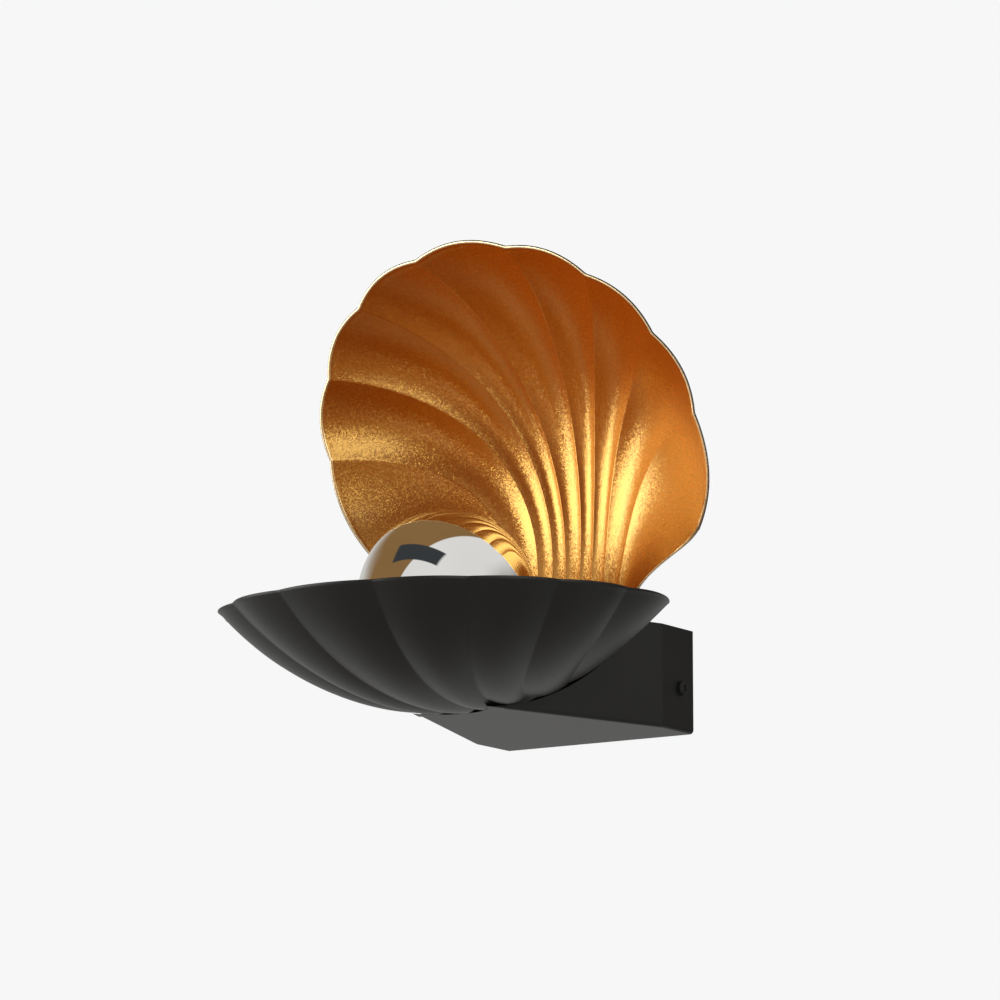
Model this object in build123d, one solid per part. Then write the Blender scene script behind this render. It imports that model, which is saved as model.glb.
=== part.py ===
from build123d import *
import math
import os

# Wall light of two equal scallop shells, set open like a clam over a silvered globe lamp.
# Millimetres. X runs right for someone facing the wall, Y into the wall, Z up.
# The origin is on the wall, at the centre of the wall bracket's slot pattern.
# "out" is a distance from the wall into the room, so it lies at Y = -out.

# ---- shell pressing, the same for both shells ----
shell_reach = 99.0            # hinge-to-front radius of the rim
shell_spread = 103.0          # sideways radius of the rim
dome_radius = 128.7           # radius of the dome that the flute crests touch
shell_sheet = 1.2
rim_half_angles = (14.3, 38.6, 62.8, 87.0, 120.1)   # lobe boundaries, from the front
rib_pull = (0.76, 0.85, 0.78, 0.55)                 # how far each rib bows to the middle
cusp_depth = 2.9              # notch between two lobes, from the rim ellipse
shoulder_inset = 1.8          # the last boundary's tip, from the rim ellipse
shoulder_shape = ((0.285, 5.2), (0.569, 3.6), (0.808, 0.5))   # share of the way, sag inwards
hinge_setback = 9.5           # the straight hinge edge cuts this much off the rim
flute_pitch_at_hinge = 7.55
hinge_half_width = 36.0
flute_depth_at_hinge = 0.6

# ---- where the shells stand ----
lower_hinge_gap = 2.0         # hinge edge of the lower shell before the box's inner wall
lower_up = 25.0
lower_droop = 1.4             # degrees, the front rim hangs this much
upper_hinge_out = 34.75
upper_gap = 0.3               # hinge corners of the upper shell above the wall box
upper_lean = 63.2             # degrees from level to the upper rim plane

# ---- wall box ----
box_half_width = 51.6
box_top = 28.0
belly_below_box = 1.5         # the lower shell's belly stands this far below the box
box_straight = 27.0           # depth of the straight part at the wall
box_taper = 0.322             # sideways gain per millimetre towards the wall
box_reach = 125.0
box_sheet = 1.2
box_front_wall_out = 37.5
box_front_wall_foot = 2.0
box_edge_round = 2.0
cradle_gap = 0.3
cradle_notch_radius = 27.0

# ---- wall bracket ----
strap_thick = 2.0
strap_height = 24.0
strap_side_gap = 0.2
strap_tab_out = 18.0
wall_slot_spacing = 60.0
wall_slot_width = 5.0
wall_slot_length = 14.0
side_screw_out = 11.0
earth_screw_x = 40.0

# ---- M4 hardware ----
m4_radius = 2.0
m4_hole_radius = 2.2
m4_tapped_radius = 2.05
m4_head_radius = 3.8
m4_head_height = 2.4
m4_nut_flats = 7.0
m4_nut_height = 3.2
m4_head_round = 0.8
m4_drive_length = 5.0
m4_drive_width = 0.8
m4_drive_depth = 1.2
seat_gap = 0.05               # hardware against the face that it is tightened on
dome_head_radius = 3.4
dome_head_round = 1.4
dome_slot_length = 3.4
side_screw_past = 2.0         # how far its end stands out of the bracket
cut_past = 1.0                # how far a cut runs on past a face

# ---- lower shell end plate and lamp bracket ----
end_plate_thick = 1.5
end_plate_half_width = 35.0
end_plate_drop = 9.9
end_plate_edge_drop = 3.6
end_plate_top = 0.3
frame_screw_x = 11.0
frame_screw_up = 22.4
frame_screw_length = 10.0
lamp_bracket_thick = 1.5
lamp_bracket_gap = 0.1        # to the end plate
lamp_bracket_half_width = 17.0
lamp_bracket_foot = 20.0
lamp_bracket_bend = 26.6
lamp_bracket_rise = 11.5      # above the lamp axis

# ---- upper shell bracket ----
stay_thick = 1.5
stay_half_width = 17.0
stay_touch_setback = 19.0     # the pad seats on the shell this far inside the rim
stay_pad_above = 9.0
stay_pad_below = 6.0
stay_base_back = 7.0
stay_base_front = 25.0
stay_gap = 0.3
stay_screw_x = 11.0
stay_screw_out = 14.0
stay_screw_length = 8.0
stud_x = 8.0
stud_proud = 0.25
stud_length = 7.0

# ---- lamp axis, tilted down into the room ----
lamp_up = 35.4
lamp_tilt = 3.6

# ---- lampholder, along the lamp axis from the bracket ----
holder_boss_radius = 8.5
holder_boss_length = 8.0
holder_shoulder = 3.0
holder_radius = 16.0
holder_collar_radius = 16.5
holder_collar_length = 5.0
holder_length = 44.0
holder_floor = 12.0
holder_bore_radius = 14.3
sleeve_outer_radius = 14.0
sleeve_inner_radius = 13.5
sleeve_start = 17.0
sleeve_end = 41.0
centre_strip_thick = 0.6
centre_strip_width = 6.0
centre_strip_half_length = 10.0
centre_strip_round = 1.5

# ---- M10 nipple, its nut and the cable grommet ----
nipple_radius = 5.0
nipple_bore_radius = 3.8
nipple_fit = 0.05
nipple_back = 6.5
nipple_depth = 7.0
nipple_nut_flats = 12.0
nipple_nut_height = 3.0
nipple_washer_radius = 7.0
nipple_washer_thick = 0.8
grommet_out = 31.0
grommet_hole_radius = 3.5
grommet_neck = 0.8
grommet_flange_radius = 5.0
grommet_flange_thick = 1.2

# ---- globe lamp, along the same axis ----
globe_radius = 40.0
globe_along = 85.9
globe_glass = 0.8
globe_neck_angle = 152.0      # degrees from the crown to where the neck starts
neck_radius = 12.6
neck_straight = 2.0
neck_in_cap = 1.0
cap_radius = 13.1
cap_thick = 0.4
cap_start = 17.5
cap_end = 41.5
tip_start = 13.5
tip_radius = 4.5
tip_thick = 1.2
tip_chamfer = 1.5
insulator_radius = 9.0
insulator_lip = 2.0
stem_radius = 4.5
stem_end = 72.0
stem_end_chamfer = 2.0
stem_flare_thick = 1.5
stem_flare_length = 12.0
filament_radius = 0.9
filament_ring = 13.0
filament_count = 4
filament_top = 100.0
filament_foot = 74.0
filament_fan = 6.0
filament_turn = 45.0
filament_wire = 1.0
filament_wire_past = 2.0

# ---- mains connection ----
block_half_width = 15.0
block_height = 14.0
block_depth = 13.0
block_up = -4.0
block_poles = 3
block_pole_pitch = 9.0
block_screw_radius = 1.7
block_screw_rise = 1.0
block_screw_row = 4.0
block_screw_gap = 0.3
block_wire_bore = 1.8
block_round = 1.0
lead_start_inset = 1.0
lead_radius = 1.1
lead_spacing = 3.0
lead_bend = 5.0
lead_drop = 3.0               # straight below the grommet
lead_sway_drop = 9.0          # from there to above its terminal
lead_end_gap = 0.3            # from its end to the terminal block
lead_end_drop = 3.0


# ---- places that follow from the sizes above ----
hinge_reach = shell_reach - hinge_setback
stay_touch_reach = shell_reach - stay_touch_setback
dome_centre_height = math.sqrt(dome_radius ** 2 - shell_reach ** 2)
lower_hinge_out = box_front_wall_out + lower_hinge_gap
lower_out = lower_hinge_out + hinge_reach
upper_out = upper_hinge_out + hinge_reach * math.cos(math.radians(upper_lean))
box_bottom = lower_up - (dome_radius - dome_centre_height) + belly_below_box
lamp_bracket_front = lower_hinge_out + lamp_bracket_gap + lamp_bracket_thick
lamp_bracket_lean = (lamp_up - lamp_bracket_bend) * math.tan(math.radians(lamp_tilt))
lamp_out = lamp_bracket_front + lamp_bracket_lean


def lower_place():
    return Pos(0, -lower_out, lower_up) * Rot(lower_droop, 0, 0)


def upper_up():
    """Height of the upper rim's centre, which keeps its hinge corners clear of the box."""
    lean = math.radians(upper_lean)
    corner_depth = crest_depth(hinge_half_width, hinge_reach, shell_sheet) - flute_depth_at_hinge
    hinge_drop = hinge_reach * math.sin(lean) - max(0.0, corner_depth) * math.cos(lean)
    return box_top + upper_gap + hinge_drop


def upper_place():
    return Pos(0, -upper_out, upper_up()) * Rot(-upper_lean, 0, 0) * Rot(0, 180, 0)


def lamp_place():
    return Pos(0, -lamp_out, lamp_up) * Rot(90 + lamp_tilt, 0, 0)


def crest_depth(x, reach, inset):
    """Depth of the dome below the rim plane, seen from the rim centre."""
    half_x = dome_radius * shell_spread / shell_reach - inset
    half_reach = dome_radius - inset
    inside = 1 - (x / half_x) ** 2 - (reach / half_reach) ** 2
    return max(0.0, half_reach * math.sqrt(max(0.0, inside)) - dome_centre_height)


def rim_shrink(inset):
    """How much smaller the rim ellipse is on a dome that lies deeper by inset."""
    return math.sqrt((dome_radius - inset) ** 2 - dome_centre_height ** 2) / shell_reach


def shoulder_plan(start, tip, t):
    """The shoulder edge seen from above: hollow beside the hinge, rounding into the rim."""
    along = tip - start
    inwards = Vector(-along.Y, along.X).normalized()
    middle = [start + along * share + inwards * sag for share, sag in shoulder_shape]
    controls = bezier_through([start, *middle, tip])
    weights = [math.comb(4, k) * t ** k * (1 - t) ** (4 - k) for k in range(5)]
    return sum((c * w for c, w in zip(controls, weights)), Vector(0, 0))


def rib_plan(boundary, t):
    """Point of a lobe boundary seen from above: 0 at the hinge edge, 1 at the rim."""
    side = 1 if boundary > 0 else -1
    index = abs(boundary) - 1
    corner = index == len(rim_half_angles) - 1
    angle = math.radians(rim_half_angles[index])
    notch = shoulder_inset if corner else cusp_depth
    tip = Vector((shell_spread - notch) * math.sin(angle), (shell_reach - notch) * math.cos(angle))
    start_x = hinge_half_width if corner else (index + 0.5) * flute_pitch_at_hinge
    start = Vector(start_x, -hinge_reach)
    if corner:
        at = shoulder_plan(start, tip, t)
    else:
        bow = (start + tip) * 0.5 * (1 - rib_pull[index])
        at = start * (1 - t) ** 2 + bow * 2 * t * (1 - t) + tip * t ** 2
    return Vector(side * at.X, at.Y)


def rib_point(boundary, t, inset):
    """Point of a rib in the shell's frame: a valley outside and a ridge inside."""
    at = rib_plan(boundary, t) * (1 - (1 - rim_shrink(inset)) * t)
    start = rib_plan(boundary, 0)
    tip = rib_plan(boundary, 1) * rim_shrink(inset)
    if abs(boundary) == len(rim_half_angles):
        # The shoulder edge climbs from the hinge edge to the rim plane.
        depth = (crest_depth(start.X, start.Y, inset) - flute_depth_at_hinge) * (1 - t)
    else:
        rise_at_rim = crest_depth(tip.X, tip.Y, inset)
        rise = flute_depth_at_hinge + (rise_at_rim - flute_depth_at_hinge) * t
        depth = crest_depth(at.X, at.Y, inset) - rise
    return Vector(at.X, -at.Y, -max(0.0, depth))


def shoulder_lift(boundary, t, inset):
    """How far the shoulder edge stands above the dome; nothing at the ribs."""
    if abs(boundary) < len(rim_half_angles):
        return 0.0
    edge = rib_point(boundary, t, inset)
    return crest_depth(edge.X, edge.Y, inset) + edge.Z


def lobe_crest(left, right, t, inset):
    """Point midway across a lobe, on the dome, or a little above it beside a shoulder."""
    chord = (rib_plan(left, t) + rib_plan(right, t)) * 0.5
    rim_chord = (rib_plan(left, 1) + rib_plan(right, 1)) * 0.5
    middle = math.atan2(rim_chord.X / shell_spread, rim_chord.Y / shell_reach)
    rim_crest = Vector(shell_spread * math.sin(middle), shell_reach * math.cos(middle))
    at = (chord + (rim_crest - rim_chord) * t ** 2) * (1 - (1 - rim_shrink(inset)) * t)
    lift = (shoulder_lift(left, t, inset) + shoulder_lift(right, t, inset)) / 4
    return Vector(at.X, -at.Y, lift - crest_depth(at.X, at.Y, inset))


def bezier_through(points):
    """Control points of the quartic that passes five points at equal steps."""
    p0, p1, p2, p3, p4 = points
    c1 = (p0 * -13 + p1 * 48 - p2 * 36 + p3 * 16 - p4 * 3) / 12
    c2 = (p0 * 13 - p1 * 64 + p2 * 120 - p3 * 64 + p4 * 13) / 18
    c3 = (p4 * -13 + p3 * 48 - p2 * 36 + p1 * 16 - p0 * 3) / 12
    return [p0, c1, c2, c3, p4]


def lobe_rows(left, right, inset):
    """Three rows of control points: a rib, the swell of the lobe, the next rib."""
    steps = [i / 4 for i in range(5)]
    first = [rib_point(left, t, inset) for t in steps]
    last = [rib_point(right, t, inset) for t in steps]
    crest = [lobe_crest(left, right, t, inset) for t in steps]
    swell = [c * 2 - (a + b) * 0.5 for a, b, c in zip(first, last, crest)]
    return [bezier_through(first), bezier_through(swell), bezier_through(last)]


def make_shell():
    """The scallop pressing: one patch to a lobe, inside and out, closed by its edges."""
    count = len(rim_half_angles)
    boundaries = [-k for k in range(count, 0, -1)] + list(range(1, count + 1))
    faces = []
    for left, right in zip(boundaries, boundaries[1:]):
        outer = lobe_rows(left, right, 0)
        inner = lobe_rows(left, right, shell_sheet)
        faces.append(Face.make_bezier_surface(outer))
        faces.append(Face.make_bezier_surface(inner))
        for end in (0, -1):
            edge_rows = [[row[end] for row in outer], [row[end] for row in inner]]
            faces.append(Face.make_bezier_surface(edge_rows))
        if left == boundaries[0]:
            faces.append(Face.make_bezier_surface([outer[0], inner[0]]))
        if right == boundaries[-1]:
            faces.append(Face.make_bezier_surface([outer[-1], inner[-1]]))
    return Solid(Shell(faces))


def make_dome_cutter():
    """The space of the lower shell, with the gap that its cradle keeps."""
    half_x = dome_radius * shell_spread / shell_reach + cradle_gap
    half_reach = dome_radius + cradle_gap
    lower_half = Align.CENTER, Align.MAX
    half = Ellipse(half_x, half_reach) & Rectangle(2 * half_x, half_reach, align=lower_half)
    dome = lower_place() * Pos(0, 0, dome_centre_height) * revolve(half, Axis.X)
    span = 4 * half_x
    in_front = Box(span, span, span, align=(Align.CENTER, Align.MAX, Align.CENTER))
    return dome & (Pos(0, -box_front_wall_out, 0) * in_front)


def box_plan(inset, start, end):
    """Outline of the wall box seen from above, from one distance out to another."""
    def half_at(out):
        slant = inset * math.sqrt(1 + box_taper ** 2) if out > box_straight else inset
        return box_half_width - max(0.0, out - box_straight) * box_taper - slant
    outs = [start] + [o for o in (box_straight,) if start < o < end] + [end]
    right = [(half_at(o), -o) for o in outs]
    left = [(-half_at(o), -o) for o in reversed(outs)]
    return make_face(Polyline(*right, *left, close=True))


def box_slab(inset, start, end, low, high):
    return extrude(Pos(0, 0, low) * box_plan(inset, start, end), high - low)


def along_y(x, out, up, radius, length):
    """Cylinder along Y that starts at out and reaches towards the wall."""
    base = Align.CENTER, Align.CENTER, Align.MIN
    return Pos(x, -out, up) * Rot(-90, 0, 0) * Cylinder(radius, length, align=base)


def upright(x, out, low, radius, height):
    base = Align.CENTER, Align.CENTER, Align.MIN
    return Pos(x, -out, low) * Cylinder(radius, height, align=base)


def make_wall_box():
    floor = box_bottom + box_sheet
    body = box_slab(0, 0, box_reach, box_bottom, box_top)
    long_edges = body.edges().filter_by(Plane.XY).group_by(Axis.Z)[0]
    body = fillet([e for e in long_edges if abs(e.center().X) > 1], box_edge_round)
    body -= make_dome_cutter()
    wall_back = box_front_wall_out - box_sheet
    cavity = box_slab(box_sheet, -box_sheet, wall_back, floor, box_top - box_sheet)
    cradle = box_slab(box_sheet, box_front_wall_out, box_reach + box_sheet, floor, 2 * box_top)
    passage = box_slab(box_sheet, wall_back - cut_past, box_front_wall_out + cut_past, floor,
                       box_front_wall_foot)
    body = body - cavity - cradle - passage
    body -= upright(0, lower_out, 2 * box_bottom, cradle_notch_radius, 4 * box_top)
    body -= Pos(0, -side_screw_out, 0) * Rot(0, 90, 0) * Cylinder(m4_hole_radius, 3 * box_half_width)
    body -= upright(0, grommet_out, 0, grommet_hole_radius, 2 * box_top)
    for side in (-1, 1):
        body -= upright(side * stay_screw_x, stay_screw_out, 0, m4_hole_radius, 2 * box_top)
        body -= along_y(side * frame_screw_x, box_front_wall_out + cut_past, frame_screw_up,
                        m4_hole_radius, box_sheet + 2 * cut_past)
    return body


def make_wall_bracket():
    tab_x = box_half_width - box_sheet - strap_side_gap
    centre_low = Align.CENTER, Align.MAX, Align.CENTER
    strap = Box(2 * tab_x, strap_thick, strap_height, align=centre_low)
    for side in (-1, 1):
        tab = Box(strap_thick, strap_tab_out, strap_height, align=centre_low)
        strap += Pos(side * (tab_x - strap_thick / 2), 0, 0) * tab
    slot = SlotOverall(wall_slot_length, wall_slot_width)
    for side in (-1, 1):
        cut = extrude(Rot(90, 0, 0) * slot, 2 * strap_thick, both=True)
        strap -= Pos(side * wall_slot_spacing / 2, 0, 0) * cut
    strap -= Pos(0, -side_screw_out, 0) * Rot(0, 90, 0) * Cylinder(m4_tapped_radius, 4 * tab_x)
    strap -= along_y(earth_screw_x, 2 * strap_thick, 0, m4_tapped_radius, 3 * strap_thick)
    return strap


def pan_screw(length):
    """M4 screw, head up from the origin, shank down."""
    head = extrude(Circle(m4_head_radius), m4_head_height)
    head = fillet(head.edges().group_by(Axis.Z)[-1], m4_head_round)
    drive = Rectangle(m4_drive_length, m4_drive_width) + Rectangle(m4_drive_width, m4_drive_length)
    head -= Pos(0, 0, m4_head_height - m4_drive_depth) * extrude(drive, m4_head_height)
    return head + extrude(Circle(m4_radius), -length)


def hex_nut(flats, height, bore):
    """Nut that stands up from the origin."""
    ring = RegularPolygon(flats / 2, 6, major_radius=False) - Circle(bore)
    return extrude(ring, height)


def both_sides(piece, x):
    return Compound([Pos(-x, 0, 0) * piece, Pos(x, 0, 0) * piece])


def make_side_screws():
    head = extrude(Circle(dome_head_radius), m4_head_height)
    head = fillet(head.edges().group_by(Axis.Z)[-1], dome_head_round)
    slot = Rectangle(dome_slot_length, m4_drive_width)
    head -= Pos(0, 0, m4_head_height - m4_drive_depth) * extrude(slot, m4_head_height)
    shank_length = box_sheet + strap_side_gap + strap_thick + side_screw_past
    screw = head + extrude(Circle(m4_radius), -shank_length)
    seat = box_half_width + seat_gap
    right = Pos(seat, -side_screw_out, 0) * Rot(0, 90, 0) * screw
    left = Pos(-seat, -side_screw_out, 0) * Rot(0, -90, 0) * screw
    return Compound([right, left])


def make_earth_screw():
    return Pos(earth_screw_x, -strap_thick - seat_gap, 0) * Rot(90, 0, 0) * pan_screw(strap_thick)


def make_end_plate():
    """Welded to the hinge edge of the lower shell, in the shell's own frame."""
    left = (-end_plate_half_width, -end_plate_edge_drop)
    right = (end_plate_half_width, -end_plate_edge_drop)
    arch = ThreePointArc(left, (0, -end_plate_drop), right)
    top_right = (end_plate_half_width, end_plate_top)
    top_left = (-end_plate_half_width, end_plate_top)
    face = make_face([*arch.edges(), *Polyline(right, top_right, top_left, left).edges()])
    plate = extrude(Rot(90, 0, 0) * face, -end_plate_thick)
    plate = lower_place() * Pos(0, hinge_reach, 0) * plate
    for side in (-1, 1):
        plate -= along_y(side * frame_screw_x, lamp_out, frame_screw_up,
                         m4_hole_radius, 4 * end_plate_thick)
    return plate


def make_lamp_bracket():
    front = lamp_bracket_front
    lean = math.radians(lamp_tilt)
    top_out = lamp_out + lamp_bracket_rise * math.sin(lean)
    top_up = lamp_up + lamp_bracket_rise * math.cos(lean)
    thick_out = lamp_bracket_thick * math.cos(lean)
    thick_up = lamp_bracket_thick * math.sin(lean)
    side = [(front, lamp_bracket_foot), (front, lamp_bracket_bend), (top_out, top_up),
            (top_out - thick_out, top_up + thick_up), (front - lamp_bracket_thick, lamp_bracket_bend),
            (front - lamp_bracket_thick, lamp_bracket_foot)]
    profile = make_face(Polyline(*[(-out, up) for out, up in side], close=True))
    plate = extrude(Plane.YZ * profile, lamp_bracket_half_width, both=True)
    plate -= lamp_place() * Cylinder(nipple_radius + nipple_fit, 4 * lamp_bracket_thick)
    for x in (-frame_screw_x, frame_screw_x):
        plate -= along_y(x, lamp_out, frame_screw_up, m4_hole_radius, 4 * lamp_bracket_thick)
    return plate


def make_frame_screws():
    face = lamp_bracket_front + seat_gap
    screw = Pos(0, -face, frame_screw_up) * Rot(90, 0, 0) * pan_screw(frame_screw_length)
    return both_sides(screw, frame_screw_x)


def make_frame_nuts():
    back = box_front_wall_out - box_sheet - seat_gap
    nut = hex_nut(m4_nut_flats, m4_nut_height, m4_tapped_radius)
    return both_sides(Pos(0, -back, frame_screw_up) * Rot(-90, 0, 0) * nut, frame_screw_x)


def shell_back_at(reach):
    """Distance out and height of the upper shell's central crest."""
    seat = upper_place() * Pos(0, -reach, -crest_depth(0, reach, 0))
    return -seat.position.Y, seat.position.Z


def stay_lean():
    """Direction of the shell's back where the stay touches it, as out and up."""
    out_low, up_low = shell_back_at(-stay_touch_reach - 1)
    out_high, up_high = shell_back_at(-stay_touch_reach + 1)
    length = math.hypot(out_high - out_low, up_high - up_low)
    return (out_high - out_low) / length, (up_high - up_low) / length


def stay_front(up):
    """Distance from the wall to the front face of the stay at a height."""
    lean_out, lean_up = stay_lean()
    touch_out, touch_up = shell_back_at(-stay_touch_reach)
    return touch_out - stay_gap / lean_up + (up - touch_up) * lean_out / lean_up


def make_upper_stay():
    """Flange on the box, a riser, and a pad that lies along the shell's back."""
    touch_up = shell_back_at(-stay_touch_reach)[1]
    low, top = touch_up - stay_pad_below, touch_up + stay_pad_above
    across = stay_thick / stay_lean()[1]
    over = box_top + stay_thick
    side = [(stay_base_back, box_top), (stay_base_front, box_top), (stay_front(low), low),
            (stay_front(top), top), (stay_front(top) - across, top),
            (stay_front(low) - across, low), (stay_base_front - across, over),
            (stay_base_back, over)]
    profile = make_face(Polyline(*[(-out, up) for out, up in side], close=True))
    stay = extrude(Plane.YZ * profile, stay_half_width, both=True)
    for x in (-stay_screw_x, stay_screw_x):
        stay -= upright(x, stay_screw_out, box_top - cut_past, m4_hole_radius,
                        stay_thick + 2 * cut_past)
    for x in (-stud_x, stud_x):
        stay -= Pos(x, 0, 0) * stud_place() * Cylinder(m4_hole_radius, 6 * stay_thick)
    return stay


def stud_place():
    """Frame on the stay's front face at the studs, with Z pointing at the shell."""
    lean_out, lean_up = stay_lean()
    up = shell_back_at(-stay_touch_reach)[1]
    return Pos(0, -stay_front(up), up) * Rot(90 + math.degrees(math.atan2(lean_out, lean_up)), 0, 0)


def make_studs():
    stud = stud_place() * Pos(0, 0, stud_proud) * extrude(Circle(m4_radius), -stud_length)
    return both_sides(stud, stud_x)


def make_stud_nuts():
    nut = Pos(0, 0, -stay_thick - seat_gap) * Rot(180, 0, 0) * hex_nut(
        m4_nut_flats, m4_nut_height, m4_tapped_radius)
    return both_sides(stud_place() * nut, stud_x)


def make_stay_screws():
    screw = Pos(0, -stay_screw_out, box_top + stay_thick + seat_gap) * pan_screw(stay_screw_length)
    return both_sides(screw, stay_screw_x)


def make_stay_nuts():
    nut = hex_nut(m4_nut_flats, m4_nut_height, m4_tapped_radius)
    under = box_top - box_sheet - seat_gap - m4_nut_height
    return both_sides(Pos(0, -stay_screw_out, under) * nut, stay_screw_x)


def turned(points):
    """Solid of revolution about the lamp axis, from radius and distance pairs."""
    profile = make_face(Plane.XZ * Polyline(*points, close=True))
    return lamp_place() * revolve(profile, Axis.Z)


def make_holder_body():
    waist = holder_length - holder_collar_length
    body = turned([
        (nipple_radius + nipple_fit, 0), (holder_boss_radius, 0),
        (holder_boss_radius, holder_boss_length),
        (holder_radius, holder_boss_length + holder_shoulder),
        (holder_radius, waist), (holder_collar_radius, waist),
        (holder_collar_radius, holder_length), (holder_bore_radius, holder_length),
        (holder_bore_radius, holder_floor), (lead_spacing, holder_floor),
        (lead_spacing, holder_boss_length), (nipple_radius + nipple_fit, holder_boss_length)])
    return body


def make_holder_sleeve():
    return turned([(sleeve_inner_radius, sleeve_start), (sleeve_outer_radius, sleeve_start),
                   (sleeve_outer_radius, sleeve_end), (sleeve_inner_radius, sleeve_end)])


def make_holder_contact():
    strip = Box(2 * centre_strip_half_length, centre_strip_width, centre_strip_thick)
    strip = fillet(strip.edges().filter_by(Axis.Z), centre_strip_round)
    return lamp_place() * Pos(0, 0, holder_floor + centre_strip_thick / 2) * strip


def make_nipple():
    return turned([(nipple_bore_radius, -nipple_back), (nipple_radius, -nipple_back),
                   (nipple_radius, nipple_depth), (nipple_bore_radius, nipple_depth)])


def make_nipple_nut():
    nut = hex_nut(nipple_nut_flats, nipple_nut_height, nipple_radius + nipple_fit)
    back = -lamp_bracket_thick - nipple_washer_thick - 2 * seat_gap - nipple_nut_height
    return lamp_place() * Pos(0, 0, back) * nut


def make_nipple_washer():
    back = -lamp_bracket_thick - nipple_washer_thick - seat_gap
    ring = Circle(nipple_washer_radius) - Circle(nipple_radius + nipple_fit)
    return lamp_place() * Pos(0, 0, back) * extrude(ring, nipple_washer_thick)


def make_grommet():
    neck = grommet_hole_radius - seat_gap
    bore = neck - grommet_neck
    top = box_top + seat_gap
    under = box_top - box_sheet - seat_gap
    profile = make_face(Plane.XZ * Polyline(
        (bore, under - grommet_flange_thick), (grommet_flange_radius, under - grommet_flange_thick),
        (grommet_flange_radius, under), (neck, under), (neck, top), (grommet_flange_radius, top),
        (grommet_flange_radius, top + grommet_flange_thick), (bore, top + grommet_flange_thick),
        close=True))
    return Pos(0, -grommet_out, 0) * revolve(profile, Axis.Z)


def globe_profile(radius, foot_radius):
    """Half outline of the glass: sphere, then a hollow curve down to the neck."""
    foot = cap_end - neck_in_cap
    angle = math.radians(globe_neck_angle)
    crown, middle, join = (
        Vector(radius * math.sin(a), globe_along + radius * math.cos(a)) for a in (0, angle / 2, angle))
    tangent = Vector(math.cos(angle), -math.sin(angle))
    neck = Spline(join, (foot_radius, foot + neck_straight), tangents=(tangent, (0, -1)))
    return ThreePointArc(crown, middle, join), neck, foot


def make_bulb_glass():
    outer_arc, outer_neck, foot = globe_profile(globe_radius, neck_radius)
    inner_arc, inner_neck, _ = globe_profile(globe_radius - globe_glass, neck_radius - globe_glass)
    outline = [outer_arc, outer_neck,
               Line(outer_neck @ 1, (neck_radius, foot)),
               Line((neck_radius, foot), (neck_radius - globe_glass, foot)),
               Line((neck_radius - globe_glass, foot), inner_neck @ 1),
               inner_neck, inner_arc, Line(inner_arc @ 0, outer_arc @ 0)]
    return lamp_place() * revolve(Plane.XZ * make_face(outline), Axis.Z)


def make_bulb_cap():
    return turned([(cap_radius - cap_thick, cap_start), (cap_radius, cap_start),
                   (cap_radius, cap_end), (cap_radius - cap_thick, cap_end)])


def make_bulb_insulator():
    lip = cap_radius - cap_thick - seat_gap
    return turned([(0, tip_start + tip_thick), (tip_radius, tip_start + tip_thick),
                   (insulator_radius, cap_start), (lip, cap_start),
                   (lip, cap_start + insulator_lip), (0, cap_start + insulator_lip)])


def make_bulb_tip():
    return turned([(0, tip_start), (tip_radius - tip_chamfer, tip_start),
                   (tip_radius, tip_start + tip_thick), (0, tip_start + tip_thick)])


def make_bulb_stem():
    flare = neck_radius - globe_glass - seat_gap
    foot = cap_end - neck_in_cap
    return turned([(0, foot), (flare, foot), (flare, foot + stem_flare_thick),
                   (stem_radius, foot + stem_flare_length),
                   (stem_radius, stem_end - stem_end_chamfer),
                   (stem_radius - stem_end_chamfer, stem_end), (0, stem_end)])


def make_filaments():
    rods = []
    for i in range(filament_count):
        turn = Rot(0, 0, 360 / filament_count * i + filament_turn)
        low = Vector(filament_fan, 0, filament_foot)
        high = Vector(filament_ring, 0, filament_top)
        lean = math.degrees(math.atan2(high.X - low.X, high.Z - low.Z))
        rod = extrude(Circle(filament_radius), (high - low).length)
        rods.append(lamp_place() * turn * Pos(*low) * Rot(0, lean, 0) * rod)
    return Compound(rods)


def make_filament_frame():
    """Wire star on the stem that the filaments stand on."""
    hub_radius = stem_radius - stem_end_chamfer
    hub = extrude(Circle(hub_radius), filament_foot - stem_end - 2 * seat_gap)
    arm = Box(filament_fan + filament_wire_past, filament_wire, filament_wire,
              align=(Align.MIN, Align.CENTER, Align.MIN))
    star = hub
    for i in range(filament_count):
        star += Rot(0, 0, 360 / filament_count * i + filament_turn) * arm
    return lamp_place() * Pos(0, 0, stem_end + seat_gap) * star


def make_terminal_block():
    low = Align.CENTER, Align.MAX, Align.CENTER
    block = Box(2 * block_half_width, block_depth, block_height, align=low)
    block = fillet(block.edges().filter_by(Axis.Y), block_round)
    for i in range(block_poles):
        x = (i - (block_poles - 1) / 2) * block_pole_pitch
        block -= Pos(x, -block_depth / 2, 0) * Cylinder(block_wire_bore, 2 * block_height)
        for row in (-block_screw_row, block_screw_row):
            hole = Rot(90, 0, 0) * Cylinder(block_screw_radius + block_screw_gap, block_depth)
            block -= Pos(x, -block_depth, row) * hole
    return Pos(0, -strap_thick - seat_gap, block_up) * block


def make_terminal_screws():
    screws = []
    for i in range(block_poles):
        x = (i - (block_poles - 1) / 2) * block_pole_pitch
        for row in (-block_screw_row, block_screw_row):
            out = strap_thick + seat_gap + block_depth - block_screw_rise
            length = block_depth / 2 - block_screw_rise - block_wire_bore
            screws.append(along_y(x, out, block_up + row, block_screw_radius, length))
    return Compound(screws)


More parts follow.
